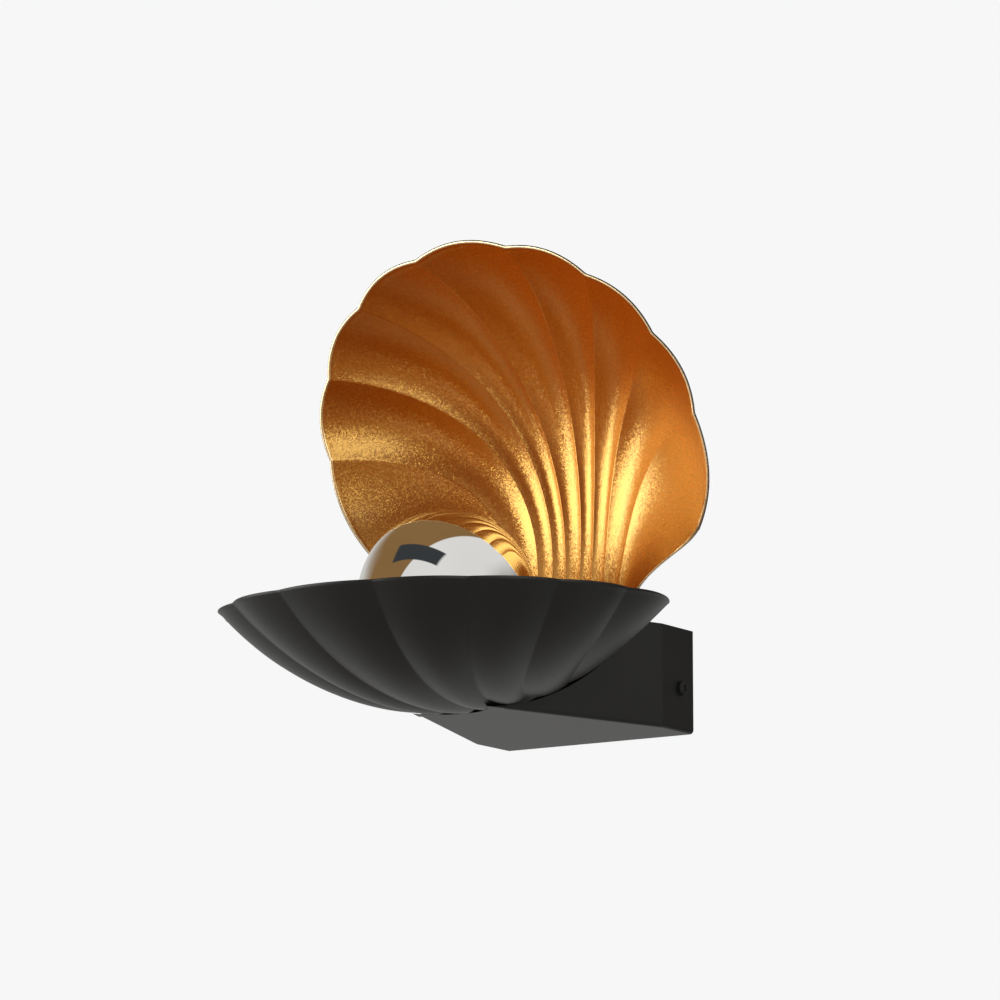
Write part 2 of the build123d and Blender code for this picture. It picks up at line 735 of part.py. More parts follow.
def lead_route(x, pole):
    """From the lampholder, back through the nipple, down the grommet to its terminal."""
    start = lamp_place() * Pos(x, 0, nipple_depth - lead_start_inset)
    corner_along = (lamp_out - grommet_out) / math.cos(math.radians(lamp_tilt))
    corner = lamp_place() * Pos(x, 0, -corner_along)
    pole_x = pole * block_pole_pitch
    entry_up = block_up + block_height / 2 + lead_end_gap
    block_out = strap_thick + seat_gap + block_depth / 2
    under_deck = box_top - box_sheet - grommet_flange_thick - lead_drop
    return [start.position, corner.position, Vector(x, -grommet_out, under_deck),
            Vector(pole_x, -block_out, under_deck - lead_sway_drop),
            Vector(pole_x, -block_out, entry_up - lead_end_drop)]


def make_lead(x, pole):
    points = lead_route(x, pole)
    path = FilletPolyline(*points, radius=lead_bend)
    start_plane = Plane(path @ 0, z_dir=path % 0)
    return sweep(start_plane * Circle(lead_radius), path=path)


def write(name, shape):
    export_step(shape, os.path.join("parts", name + ".step"))


os.makedirs("parts", exist_ok=True)
shell = make_shell()
write("lower_shell", lower_place() * shell)
write("upper_shell", upper_place() * shell)
write("lower_shell_end_plate", make_end_plate())
write("wall_box", make_wall_box())
write("wall_bracket", make_wall_bracket())
write("side_screws", make_side_screws())
write("earth_screw", make_earth_screw())
write("lamp_bracket", make_lamp_bracket())
write("frame_screws", make_frame_screws())
write("frame_nuts", make_frame_nuts())
write("upper_shell_stay", make_upper_stay())
write("upper_shell_studs", make_studs())
write("stud_nuts", make_stud_nuts())
write("stay_screws", make_stay_screws())
write("stay_nuts", make_stay_nuts())
write("lampholder_body", make_holder_body())
write("lampholder_sleeve", make_holder_sleeve())
write("lampholder_contact", make_holder_contact())
write("lampholder_nipple", make_nipple())
write("nipple_nut", make_nipple_nut())
write("nipple_washer", make_nipple_washer())
write("cable_grommet", make_grommet())
write("bulb_glass", make_bulb_glass())
write("bulb_cap", make_bulb_cap())
write("bulb_insulator", make_bulb_insulator())
write("bulb_tip", make_bulb_tip())
write("bulb_stem", make_bulb_stem())
write("bulb_filament_frame", make_filament_frame())
write("bulb_filaments", make_filaments())
write("terminal_block", make_terminal_block())
write("terminal_screws", make_terminal_screws())
write("live_lead", make_lead(-lead_spacing / 2, -1))
write("neutral_lead", make_lead(lead_spacing / 2, 1))
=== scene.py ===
import math

import bpy
import numpy as np
from mathutils import Matrix, Vector


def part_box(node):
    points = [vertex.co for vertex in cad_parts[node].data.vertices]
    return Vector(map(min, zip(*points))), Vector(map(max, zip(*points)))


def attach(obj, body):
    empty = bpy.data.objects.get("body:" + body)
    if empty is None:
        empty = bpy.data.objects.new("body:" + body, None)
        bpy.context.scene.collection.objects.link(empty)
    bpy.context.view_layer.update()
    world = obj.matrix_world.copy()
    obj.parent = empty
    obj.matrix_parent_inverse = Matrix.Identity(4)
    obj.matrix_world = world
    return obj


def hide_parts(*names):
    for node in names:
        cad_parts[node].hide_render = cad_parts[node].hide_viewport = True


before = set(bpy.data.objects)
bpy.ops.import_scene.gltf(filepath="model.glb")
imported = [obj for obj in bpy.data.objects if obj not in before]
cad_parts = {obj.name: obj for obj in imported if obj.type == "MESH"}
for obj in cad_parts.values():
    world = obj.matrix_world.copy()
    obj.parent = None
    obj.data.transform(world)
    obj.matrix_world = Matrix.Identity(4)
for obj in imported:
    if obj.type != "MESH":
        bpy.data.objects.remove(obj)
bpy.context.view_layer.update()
scene = bpy.context.scene
scene.view_settings.view_transform = "Standard"

# Wall light of two scallop shells, set open like a clam over a silvered globe lamp.
# Metres and degrees. X runs right for someone facing the wall, Y into the wall, Z up.

# ---- the shell pressing, as in the solids ----
SHELL_REACH = 0.099                 # half of the rim's ellipse, from hinge to front
SHELL_SPREAD = 0.103                # half of it from side to side
DOME_RADIUS = 0.1287                # of the dome that the flutes' crests touch
SHELL_SHEET = 0.0012
RIM_HALF_ANGLES = (14.3, 38.6, 62.8, 87.0, 120.1)   # of the rim's notches, from the front
RIB_PULL = (0.76, 0.85, 0.78, 0.55)                 # share by which each rib bows inwards
CUSP_DEPTH = 0.0029
SHOULDER_INSET = 0.0018
SHOULDER_SHAPE = ((0.285, 0.0052), (0.569, 0.0036), (0.808, 0.0005))    # share of chord, sag
HINGE_REACH = 0.0895
FLUTE_PITCH_AT_HINGE = 0.00755
HINGE_HALF_WIDTH = 0.036
FLUTE_DEPTH_AT_HINGE = 0.0006
DOME_CENTRE = math.sqrt(DOME_RADIUS ** 2 - SHELL_REACH ** 2)    # above the rim's plane

# ---- where the two shells stand ----
LOWER_HINGE_OUT = 0.0395
LOWER_UP = 0.025
LOWER_DROOP = 1.4
UPPER_HINGE_OUT = 0.03475
UPPER_LEAN = 63.2

# ---- lip of the wall box round the belly ----
NOTCH_RADIUS = 0.02695
LIP_THICK = 0.00112
LIP_NOTCH_ANGLE = 59.5              # half of the lip's span on the notch
LIP_BELLY_ANGLE = 74.0              # half of its span on the belly
LIP_STEPS = 60

# ---- mesh of a shell ----
STEPS_ACROSS = 26                   # across one lobe
STEPS_ALONG = 110                   # from the hinge edge to the rim
RIB_SMOOTHING = 5                   # rounds
EDGE_SET_BACK = 0.00055             # where the rolled edge begins
EDGE_STEPS = 6                      # round the rolled edge
EDGE_STEPS_BLACK = 2                # of these, next to the outer face
GOLD_SLOT, BLACK_SLOT, BEAD_SLOT = 0, 1, 2

# ---- the gold lacquer ----
FLAKES_PER_METRE = 2700.0
FLAKE_TILT = 0.20                   # share of a flake's random colour in the normal
FLAKE_TONES = ((0.0, (0.23, 0.033, 0.0)), (0.6, (0.30, 0.048, 0.0)), (1.0, (0.44, 0.090, 0.0008)))
FLAKE_ROUGHNESS = (0.27, 0.19)      # of the darkest and of the lightest flake
GOLD_TINT = (1.0, 0.61, 0.13, 1)

# ---- the satin black paint ----
BLACK = (0.0075, 0.0071, 0.0062)
# darker than BLACK as painted shade, so that the side screw heads read as the dark spot of a recess
SCREW_BLACK_PAINTED_SHADE = (0.004, 0.004, 0.004)
BLACK_GRAIN = 2600.0                # noise scale of the fine grain
BLACK_PATCHES = 26.0                # noise scale of the broad change of shade
BLACK_SHADES = (0.85, 1.2)
BLACK_ROUGHNESS_SPREAD = (-0.05, 0.06)

NOISE_RANGE = (0.3, 0.7)            # the levels of a noise between which a finish changes
PATCHES_PER_GRAIN = 8               # how much broader a finish's patches are than its grain
ROUGHNESS_SHARES = (0.88, 1.12)

# ---- the studio: the light that a ray meets, by its way ----
# A pair of numbers is the range of the way's cosine with an axis over which the light changes.
PALE_SEEN = (0.93, 0.93, 0.935)     # by the camera and through glass
FRONT_LEVEL = (0.05, 0.05, 0.05)
FRONT_FLOOR = (0.42, 0.41, 0.39)
FRONT_FALL = (-0.9, -0.2)           # with up: from the floor's light to the dark
FRONT_RISE = (0.04, 0.28)           # with up: from the dark to the window and the ceiling
CEILING = (0.27, 0.155, 0.06)
WINDOW = (0.86, 0.855, 0.845)
WINDOW_AT = (64.0, -25.0)           # azimuth and elevation of the side that it takes up
WINDOW_EDGE = (-0.20, -0.17)        # with WINDOW_AT
BACK_LEFT = (0.66, 0.66, 0.64)
BACK_RIGHT = (0.42, 0.42, 0.40)
BACK_DEEP = (0.10, 0.10, 0.095)
SIDE_CHANGE = (-0.2, 0.2)           # with X: from left to right
BACK_CHANGE = (-0.1, 0.4)           # with Y: from front to back
DEEP_CHANGE = (0.58, 0.84)          # with Y: to the darkest part of the back
BACK_TOP = (0.3, 0.6)               # with up: from the back to the window and the ceiling
FLAG = (0.045, 0.05, 0.055)
FLAG_AT = (-16.0, 50.0)             # azimuth and elevation
FLAG_HALF_SIZE = (0.52, 0.18)       # across and up, as cosines
FLAG_SOFT_FROM = 0.9                # share of the half size where its edge begins to fade
FLAG_SIDE = 0.5                     # a ray whose cosine with its middle is less passes it
DIFFUSE_LOW = (0.33, 0.32, 0.30)
DIFFUSE_CEILING = (0.11, 0.09, 0.06)
DIFFUSE_WINDOW = (0.26, 0.25, 0.23)
DIFFUSE_RISE = (-0.1, 0.5)          # with up

# ---- lamps: azimuth, elevation, width and height, power ----
LAMP_AIM = Vector((0.0, -0.10, 0.08))
LAMP_DISTANCE = 1.25
LAMPS = {
    "key": (-45.0, -4.0, (1.35, 0.80), 18.5),
    "side": (63.0, -18.0, (0.9, 0.6), 5.2),
}

# ---- floor ----
FLOOR_UP = -1.8
FLOOR_HALF = 1.1

# ---- camera, fitted to the outlines in the photograph ----
CAMERA_TARGET = Vector((0.0, -0.090, 0.063))
CAMERA_AZIMUTH = 33.38
CAMERA_RISE = 10.4                  # how far the line of sight climbs
CAMERA_DISTANCE = 2.3383
CAMERA_LENS = 185.2
CAMERA_SENSOR = 36.0
CAMERA_SHIFT = (0.00753, 0.03868)
CAMERA_CLIP_END = 50.0


# ---------------------------------------------------------------- shader helpers
def new_material(name):
    mat = bpy.data.materials.new(name)
    mat.use_nodes = True
    tree = mat.node_tree
    shader = tree.nodes["Principled BSDF"]
    return mat, tree, shader


def node(tree, kind, **values):
    """A new node, with the values of its inputs or else of its own settings."""
    n = tree.nodes.new(kind)
    for key, value in values.items():
        if key in n.inputs:
            n.inputs[key].default_value = value
        else:
            setattr(n, key, value)
    return n


def set_inputs(n, **values):
    """Plain values for inputs with spaces in their names, written here as underscores."""
    for key, value in values.items():
        n.inputs[key.replace("_", " ")].default_value = value


def feed(tree, source, socket):
    """A link where the source is a socket, and its plain value where it is none."""
    if isinstance(source, bpy.types.NodeSocket):
        tree.links.new(source, socket)
    else:
        socket.default_value = source


def noise(tree, scale, detail=2.0):
    coords = node(tree, "ShaderNodeTexCoord").outputs["Object"]
    n = node(tree, "ShaderNodeTexNoise", Scale=scale, Detail=detail, Roughness=0.5)
    tree.links.new(coords, n.inputs["Vector"])
    return n.outputs["Fac"]


def ramp(tree, source, stops):
    n = node(tree, "ShaderNodeValToRGB")
    while len(n.color_ramp.elements) < len(stops):
        n.color_ramp.elements.new(0.5)
    for element, (at, colour) in zip(n.color_ramp.elements, stops):
        element.position = at
        element.color = (*colour, 1.0)
    tree.links.new(source, n.inputs["Fac"])
    return n.outputs["Color"]


def map_range(tree, source, edges, to_edges):
    n = node(tree, "ShaderNodeMapRange")
    set_inputs(n, From_Min=edges[0], From_Max=edges[1], To_Min=to_edges[0], To_Max=to_edges[1])
    tree.links.new(source, n.inputs["Value"])
    return n.outputs["Result"]


def rise(tree, source, edges):
    return map_range(tree, source, edges, (0.0, 1.0))


def fall(tree, source, edges):
    return map_range(tree, source, edges, (1.0, 0.0))


def math_node(tree, operation, *sources):
    n = node(tree, "ShaderNodeMath", operation=operation)
    for source, socket in zip(sources, n.inputs):
        feed(tree, source, socket)
    return n.outputs["Value"]


def vector_node(tree, operation, *sources, **values):
    n = node(tree, "ShaderNodeVectorMath", operation=operation, **values)
    for source, socket in zip(sources, n.inputs):
        feed(tree, source, socket)
    return n.outputs["Vector"]


def along(tree, way, axis):
    """The cosine between a ray's way and an axis."""
    n = node(tree, "ShaderNodeVectorMath", operation="DOT_PRODUCT")
    feed(tree, way, n.inputs[0])
    feed(tree, axis, n.inputs[1])
    return n.outputs["Value"]


def blend_colours(tree, factor, *colours):
    """The first colour at factor 0 and the second at 1; each is a socket or a plain colour."""
    n = node(tree, "ShaderNodeMix", data_type="RGBA")
    first, second = [s for s in n.inputs if s.type == "RGBA"]
    feed(tree, factor, n.inputs["Factor"])
    for colour, socket in zip(colours, (first, second)):
        plain = isinstance(colour, tuple)
        feed(tree, (*colour, 1) if plain else colour, socket)
    return next(s for s in n.outputs if s.type == "RGBA")


# ---------------------------------------------------------------- finishes
def shade(colour, factor):
    return tuple(min(1.0, c * factor) for c in colour)


def mottle(tree, shader, patches, low, high):
    """A base colour that wanders between two shades."""
    stops = tuple(zip(NOISE_RANGE, (low, high)))
    tree.links.new(ramp(tree, patches, stops), shader.inputs["Base Color"])


def grain_roughness(tree, shader, grain, low, high):
    rough = map_range(tree, grain, NOISE_RANGE, (low, high))
    tree.links.new(rough, shader.inputs["Roughness"])


def bump(tree, shader, height, strength, distance):
    n = node(tree, "ShaderNodeBump", Strength=strength, Distance=distance)
    tree.links.new(height, n.inputs["Height"])
    tree.links.new(n.outputs["Normal"], shader.inputs["Normal"])


def plain_finish(name, colour, spread, roughness, metallic=0.0, grain=400.0, **inputs):
    """A finish whose colour and roughness wander a little, with a fine surface grain."""
    mat, tree, shader = new_material(name)
    patches = noise(tree, grain / PATCHES_PER_GRAIN, detail=3.0)
    mottle(tree, shader, patches, shade(colour, 1 - spread), shade(colour, 1 + spread))
    fine = noise(tree, grain)
    low, high = ROUGHNESS_SHARES
    grain_roughness(tree, shader, fine, roughness * low, roughness * high)
    bump(tree, shader, fine, strength=0.25, distance=0.00004)
    set_inputs(shader, Metallic=metallic, **inputs)
    return mat


def gold_lacquer():
    """Amber lacquer full of gold flakes: each fine flake tilts its own way and has its own tone."""
    mat, tree, shader = new_material("gold_lacquer")
    coords = node(tree, "ShaderNodeTexCoord").outputs["Object"]
    flakes = node(tree, "ShaderNodeTexVoronoi", Scale=FLAKES_PER_METRE, Randomness=1.0)
    tree.links.new(coords, flakes.inputs["Vector"])
    flake = flakes.outputs["Color"]
    tone = rise(tree, flake, (0.0, 1.0))        # the flake's random colour as one number
    tree.links.new(ramp(tree, tone, FLAKE_TONES), shader.inputs["Base Color"])
    rough = map_range(tree, tone, (0.0, 1.0), FLAKE_ROUGHNESS)
    tree.links.new(rough, shader.inputs["Roughness"])
    tilt = vector_node(tree, "SUBTRACT", flake, (0.5, 0.5, 0.5))
    tilt = vector_node(tree, "SCALE", tilt, Scale=FLAKE_TILT)
    normal = node(tree, "ShaderNodeNewGeometry").outputs["Normal"]
    tilted = vector_node(tree, "NORMALIZE", vector_node(tree, "ADD", normal, tilt))
    tree.links.new(tilted, shader.inputs["Normal"])
    set_inputs(shader, IOR=3.4, Specular_Tint=GOLD_TINT, Coat_Weight=0.3, Coat_Roughness=0.25)
    return mat


def satin_black(name, tint=BLACK, roughness=0.42):
    mat, tree, shader = new_material(name)
    low, high = BLACK_SHADES
    patches = noise(tree, BLACK_PATCHES, detail=3.0)
    mottle(tree, shader, patches, shade(tint, low), shade(tint, high))
    grain = noise(tree, BLACK_GRAIN)
    less, more = BLACK_ROUGHNESS_SPREAD
    grain_roughness(tree, shader, grain, roughness + less, roughness + more)
    bump(tree, shader, grain, strength=0.35, distance=0.00003)
    set_inputs(shader, Specular_IOR_Level=0.38)
    return mat


def mirror_silver():
    mat, tree, shader = new_material("mirror_silver")
    patches = noise(tree, scale=30.0)
    mottle(tree, shader, patches, (0.77, 0.76, 0.74), (0.82, 0.81, 0.79))
    set_inputs(shader, Metallic=1.0, Roughness=0.02)
    return mat


def clear_glass():
    mat, tree, shader = new_material("stem_glass")
    tint = (0.96, 0.97, 0.96)
    mottle(tree, shader, noise(tree, scale=60.0), shade(tint, 0.97), tint)
    set_inputs(shader, Roughness=0.02, Transmission_Weight=1.0, IOR=1.5)
    return mat


# ---------------------------------------------------------------- the shell surface
# Each face of the sheet is the same surface, drawn in by inset: 0 outside, the sheet inside.
# t runs from 0 at the hinge edge to 1 at the rim. Boundaries between flutes are numbered
# from 1 at the middle to 5 at the shoulder, and from -1 to -5 on the other side.
def crest_depth(x, reach, inset):
    """Depth below the rim's plane of the dome that the crests touch."""
    half_x = DOME_RADIUS * SHELL_SPREAD / SHELL_REACH - inset
    half_reach = DOME_RADIUS - inset
    inside = 1 - (x / half_x) ** 2 - (reach / half_reach) ** 2
    return np.maximum(0.0, half_reach * np.sqrt(np.maximum(0.0, inside)) - DOME_CENTRE)


def rim_shrink(inset):
    return math.sqrt((DOME_RADIUS - inset) ** 2 - DOME_CENTRE ** 2) / SHELL_REACH


def bezier_through(points):
    """Controls of the curve of fourth degree that passes five points at equal steps."""
    p0, p1, p2, p3, p4 = points
    return (p0, (p0 * -13 + p1 * 48 - p2 * 36 + p3 * 16 - p4 * 3) / 12,
            (p0 * 13 - p1 * 64 + p2 * 120 - p3 * 64 + p4 * 13) / 18,
            (p4 * -13 + p3 * 48 - p2 * 36 + p1 * 16 - p0 * 3) / 12, p4)


def shoulder_plan(start, tip, t):
    chord = tip - start
    inwards = np.array((-chord[1], chord[0])) / np.linalg.norm(chord)
    middle = [start + chord * share + inwards * sag for share, sag in SHOULDER_SHAPE]
    controls = bezier_through((start, *middle, tip))
    return sum(c * math.comb(4, k) * t ** k * (1 - t) ** (4 - k) for k, c in enumerate(controls))


def rib_plan(boundary, t):
    """A boundary seen from above: across and reach at every t."""
    side = 1 if boundary > 0 else -1
    index = abs(boundary) - 1
    corner = index == len(RIM_HALF_ANGLES) - 1
    angle = math.radians(RIM_HALF_ANGLES[index])
    notch = SHOULDER_INSET if corner else CUSP_DEPTH
    spread, reach = SHELL_SPREAD - notch, SHELL_REACH - notch
    tip = np.array((spread * math.sin(angle), reach * math.cos(angle)))
    start_x = HINGE_HALF_WIDTH if corner else (index + 0.5) * FLUTE_PITCH_AT_HINGE
    start = np.array((start_x, -HINGE_REACH))
    t = np.asarray(t)[:, None]
    if corner:
        at = shoulder_plan(start, tip, t)
    else:
        bow = (start + tip) * 0.5 * (1 - RIB_PULL[index])
        at = start * (1 - t) ** 2 + bow * 2 * t * (1 - t) + tip * t ** 2
    at[:, 0] *= side
    return at


def rib_line(boundary, t, inset):
    """Points of a boundary at every t: across, reach and depth."""
    shrink = rim_shrink(inset)
    at = rib_plan(boundary, t) * (1 - (1 - shrink) * t)[:, None]
    start = rib_plan(boundary, np.zeros(1))[0]
    tip = rib_plan(boundary, np.ones(1))[0] * shrink
    if abs(boundary) == len(RIM_HALF_ANGLES):
        depth = (crest_depth(start[0], start[1], inset) - FLUTE_DEPTH_AT_HINGE) * (1 - t)
    else:
        rise_at_rim = crest_depth(tip[0], tip[1], inset)
        rise_here = FLUTE_DEPTH_AT_HINGE + (rise_at_rim - FLUTE_DEPTH_AT_HINGE) * t
        depth = crest_depth(at[:, 0], at[:, 1], inset) - rise_here
    return np.column_stack((at, np.maximum(0.0, depth)))


def shoulder_lift(boundary, t, inset):
    """How far a shoulder lies above the dome; nothing for the ribs between."""
    if abs(boundary) < len(RIM_HALF_ANGLES):
        return np.zeros_like(t)
    edge = rib_line(boundary, t, inset)
    return crest_depth(edge[:, 0], edge[:, 1], inset) - edge[:, 2]


def crest_line(left, right, t, inset):
    """Points of the crest between two boundaries."""
    chord = (rib_plan(left, t) + rib_plan(right, t)) * 0.5
    rim_chord = (rib_plan(left, np.ones(1)) + rib_plan(right, np.ones(1)))[0] * 0.5
    middle = math.atan2(rim_chord[0] / SHELL_SPREAD, rim_chord[1] / SHELL_REACH)
    rim_crest = np.array((SHELL_SPREAD * math.sin(middle), SHELL_REACH * math.cos(middle)))
    at = chord + (rim_crest - rim_chord) * t[:, None] ** 2
    at = at * (1 - (1 - rim_shrink(inset)) * t)[:, None]
    lift = (shoulder_lift(left, t, inset) + shoulder_lift(right, t, inset)) / 4
    return np.column_stack((at, crest_depth(at[:, 0], at[:, 1], inset) - lift))


def shell_grid(inset):
    """Points of one face of the pressing, by step along and step across, in its own frame."""
    t = np.linspace(0, 1, STEPS_ALONG + 1)
    u = (1 - np.cos(np.linspace(0, math.pi, STEPS_ACROSS + 1))) / 2
    count = len(RIM_HALF_ANGLES)
    boundaries = [*range(-count, 0), *range(1, count + 1)]
    columns = []
    for left, right in zip(boundaries, boundaries[1:]):
        first, last = rib_line(left, t, inset), rib_line(right, t, inset)
        swell = crest_line(left, right, t, inset) * 2 - (first + last) * 0.5
        for s in u[:-1]:
            columns.append(first * (1 - s) ** 2 + swell * 2 * s * (1 - s) + last * s ** 2)
    columns.append(last)
    grid = np.stack(columns, axis=1)
    for _ in range(RIB_SMOOTHING):
        grid[:, 1:-1] = grid[:, 1:-1] * 0.5 + (grid[:, :-2] + grid[:, 2:]) * 0.25
    grid[..., 1:] *= -1
    return grid


# ---------------------------------------------------------------- the meshes of the scene
def add_mesh(name, verts, faces, *materials):
    mesh = bpy.data.meshes.new(name)
    mesh.from_pydata(verts, [], faces)
    for mat in materials:
        mesh.materials.append(mat)
    made = bpy.data.objects.new(name, mesh)
    scene.collection.objects.link(made)
    return made


def unit(v):
    return v / max(1e-12, np.linalg.norm(v))


def perimeter(rows, columns):
    """Grid places round the edge, hinge side first, and the step that leads inwards."""
    hinge = [((0, c), (1, 0)) for c in range(columns)]
    right = [((r, columns - 1), (0, -1)) for r in range(1, rows - 1)]
    rim = [((rows - 1, c), (-1, 0)) for c in range(columns - 1, -1, -1)]
    left = [((r, 0), (0, 1)) for r in range(rows - 2, 0, -1)]
    return hinge + right + rim + left


def edge_directions(outer, inner, edge):
    """At every place of the edge, the way out of the sheet in its own plane."""
    outward = []
    for (r, c), (dr, dc) in edge:
        middle = (outer[r, c] + inner[r, c]) / 2
        inside = (outer[r + dr, c + dc] + inner[r + dr, c + dc]) / 2
        across = unit(outer[r, c] - inner[r, c])
        away = middle - inside
        outward.append(unit(away - across * np.dot(away, across)))
    return outward


def make_shell(name, place, materials):
    """The pressing: gold inside, black outside, and round the edge a rolled bead of bare gold."""
    outer, inner = shell_grid(0.0), shell_grid(SHELL_SHEET)
    rows, columns = outer.shape[:2]
    edge = perimeter(rows, columns)
    outward = edge_directions(outer, inner, edge)
    for ((r, c), _), away in zip(edge, outward):
        outer[r, c] -= away * EDGE_SET_BACK
        inner[r, c] -= away * EDGE_SET_BACK

    verts = [*outer.reshape(-1, 3), *inner.reshape(-1, 3)]
    faces, slots = [], []
    inner_start = rows * columns
    for r in range(rows - 1):
        for c in range(columns - 1):
            a, b = r * columns + c, (r + 1) * columns + c
            faces.append((a, a + 1, b + 1, b))
            slots.append(BLACK_SLOT)
            a, b = inner_start + a, inner_start + b
            faces.append((a, b, b + 1, a + 1))
            slots.append(GOLD_SLOT)

    rings = []
    for ((r, c), _), away in zip(edge, outward):
        top, low = outer[r, c], inner[r, c]
        centre, half = (top + low) / 2, (top - low) / 2
        ring = [r * columns + c]
        for step in range(1, EDGE_STEPS):
            angle = math.pi * step / EDGE_STEPS
            ring.append(len(verts))
            verts.append(centre + half * math.cos(angle) + away * EDGE_SET_BACK * math.sin(angle))
        ring.append(inner_start + r * columns + c)
        rings.append(ring)
    for ring, following in zip(rings, rings[1:] + rings[:1]):
        for step in range(EDGE_STEPS):
            faces.append((ring[step], ring[step + 1], following[step + 1], following[step]))
            slots.append(BLACK_SLOT if step < EDGE_STEPS_BLACK else BEAD_SLOT)

    shell = add_mesh(name, [place @ Vector(v) for v in verts], faces, *materials)
    shell.data.polygons.foreach_set("material_index", slots)
    shell.data.polygons.foreach_set("use_smooth", [True] * len(faces))
    shell.data.update()
    return shell


def make_cradle_lip(material):
    """The box's bottom sheet thins out from its round notch to where the belly meets its plane."""
    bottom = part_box("wall_box")[0].z
    notch = lower_place @ Vector((0, 0, 0))
    belly = lower_place @ Vector((0, 0, DOME_CENTRE))
    touch = math.sqrt(DOME_RADIUS ** 2 - (belly.z - bottom) ** 2)
    verts = []
    for step in range(LIP_STEPS + 1):
        share = 2 * step / LIP_STEPS - 1
        at_notch, at_belly = (math.radians(a * share) for a in (LIP_NOTCH_ANGLE, LIP_BELLY_ANGLE))
        rim = (NOTCH_RADIUS * math.sin(at_notch), notch.y + NOTCH_RADIUS * math.cos(at_notch))
        tip = (touch * math.sin(at_belly) * SHELL_SPREAD / SHELL_REACH,
               belly.y + touch * math.cos(at_belly))
        verts += [(*rim, bottom), (*rim, bottom + LIP_THICK), (*tip, bottom)]
    last = 3 * LIP_STEPS
    faces = [(2, 1, 0), (last, last + 1, last + 2)]
    for a in range(0, last, 3):
        for side, following in ((0, 1), (1, 2), (2, 0)):
            faces.append((a + side, a + following, a + 3 + following, a + 3 + side))
    return add_mesh("cradle_lip", verts, faces, material)


# ---------------------------------------------------------------- where the shells stand
def rot_x(degrees):
    return Matrix.Rotation(math.radians(degrees), 4, "X")


def hinge_end_depth():
    """Depth of the inner face at the ends of the hinge edge."""
    return float(crest_depth(HINGE_HALF_WIDTH, HINGE_REACH, SHELL_SHEET)) - FLUTE_DEPTH_AT_HINGE


lower_out = LOWER_HINGE_OUT + HINGE_REACH
lower_place = Matrix.Translation((0, -lower_out, LOWER_UP)) @ rot_x(LOWER_DROOP)

lean = math.radians(UPPER_LEAN)
upper_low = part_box("upper_shell")[0].z
upper_up = upper_low + HINGE_REACH * math.sin(lean) - hinge_end_depth() * math.cos(lean)
upper_out = UPPER_HINGE_OUT + HINGE_REACH * math.cos(lean)
upper_place = (Matrix.Translation((0, -upper_out, upper_up)) @ rot_x(-UPPER_LEAN)
               @ Matrix.Rotation(math.pi, 4, "Y"))

gold = gold_lacquer()
black = satin_black("satin_black")
bead_gold = plain_finish("edge_gold", (0.85, 0.62, 0.34), spread=0.10, roughness=0.28,
                         metallic=0.85, grain=1500.0)
for name, cad_node, place in (("lower_scallop", "lower_shell", lower_place),
                              ("upper_scallop", "upper_shell", upper_place)):
    shell = make_shell(name, place, (gold, black, bead_gold))
    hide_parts(cad_node)
    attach(shell, "fixture")

box_black = satin_black("box_black", roughness=0.46)
cradle_lip = make_cradle_lip(box_black)
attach(cradle_lip, "fixture")


# ---------------------------------------------------------------- finishes of the CAD pieces
def paint(finish, *cad_nodes):
    for cad_node in cad_nodes:
        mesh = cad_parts[cad_node].data
        mesh.materials.clear()
        mesh.materials.append(finish)


def metal(name, colour, spread, roughness, grain):
    return plain_finish(name, colour, spread, roughness, metallic=1.0, grain=grain)


paint(box_black, "lower_shell_end_plate", "wall_box", "upper_shell_stay")
# the side screws take the darker black, a painted shade of a recess
paint(satin_black("screw_black", SCREW_BLACK_PAINTED_SHADE, roughness=0.62), "side_screws")
paint(satin_black("stay_screw_black", roughness=0.38), "stay_screws")
paint(metal("zinc_steel", (0.56, 0.57, 0.58), spread=0.10, roughness=0.34, grain=900.0),
      "wall_bracket", "lamp_bracket", "frame_screws", "frame_nuts", "upper_shell_studs",
      "stud_nuts", "stay_nuts", "lampholder_nipple", "nipple_nut", "nipple_washer",
      "bulb_filament_frame")
paint(metal("brass", (0.72, 0.49, 0.19), spread=0.08, roughness=0.30, grain=700.0),
      "earth_screw", "lampholder_sleeve", "lampholder_contact", "terminal_screws")
paint(plain_finish("porcelain", (0.80, 0.79, 0.75), spread=0.03, roughness=0.16, grain=120.0,
                   Coat_Weight=0.6, Coat_Roughness=0.06), "lampholder_body")
paint(plain_finish("rubber", (0.018, 0.018, 0.018), spread=0.2, roughness=0.72, grain=1500.0),
      "cable_grommet")
paint(mirror_silver(), "bulb_glass")
paint(metal("cap_metal", (0.74, 0.72, 0.67), spread=0.06, roughness=0.26, grain=500.0),
      "bulb_cap")
paint(metal("tip_solder", (0.62, 0.61, 0.58), spread=0.08, roughness=0.38, grain=600.0),
      "bulb_tip")
paint(plain_finish("vitrite", (0.012, 0.012, 0.014), spread=0.2, roughness=0.18, grain=300.0),
      "bulb_insulator")
paint(clear_glass(), "bulb_stem")
paint(plain_finish("filament_coat", (0.80, 0.55, 0.16), spread=0.08, roughness=0.65,
                   grain=1200.0), "bulb_filaments")
paint(plain_finish("polyamide", (0.78, 0.78, 0.75), spread=0.04, roughness=0.46, grain=500.0),
      "terminal_block")
for cad_node, name, colour in (("live_lead", "brown_insulation", (0.16, 0.065, 0.030)),
                               ("neutral_lead", "blue_insulation", (0.022, 0.085, 0.32))):
    paint(plain_finish(name, colour, spread=0.12, roughness=0.42, grain=900.0), cad_node)


# ---------------------------------------------------------------- floor, light and camera
def toward(azimuth, elevation):
    """Unit vector at these angles, azimuth from straight out of the wall towards the right."""
    turn, climb = math.radians(azimuth), math.radians(elevation)
    level = math.cos(climb)
    return Vector((math.sin(turn) * level, -math.cos(turn) * level, math.sin(climb)))


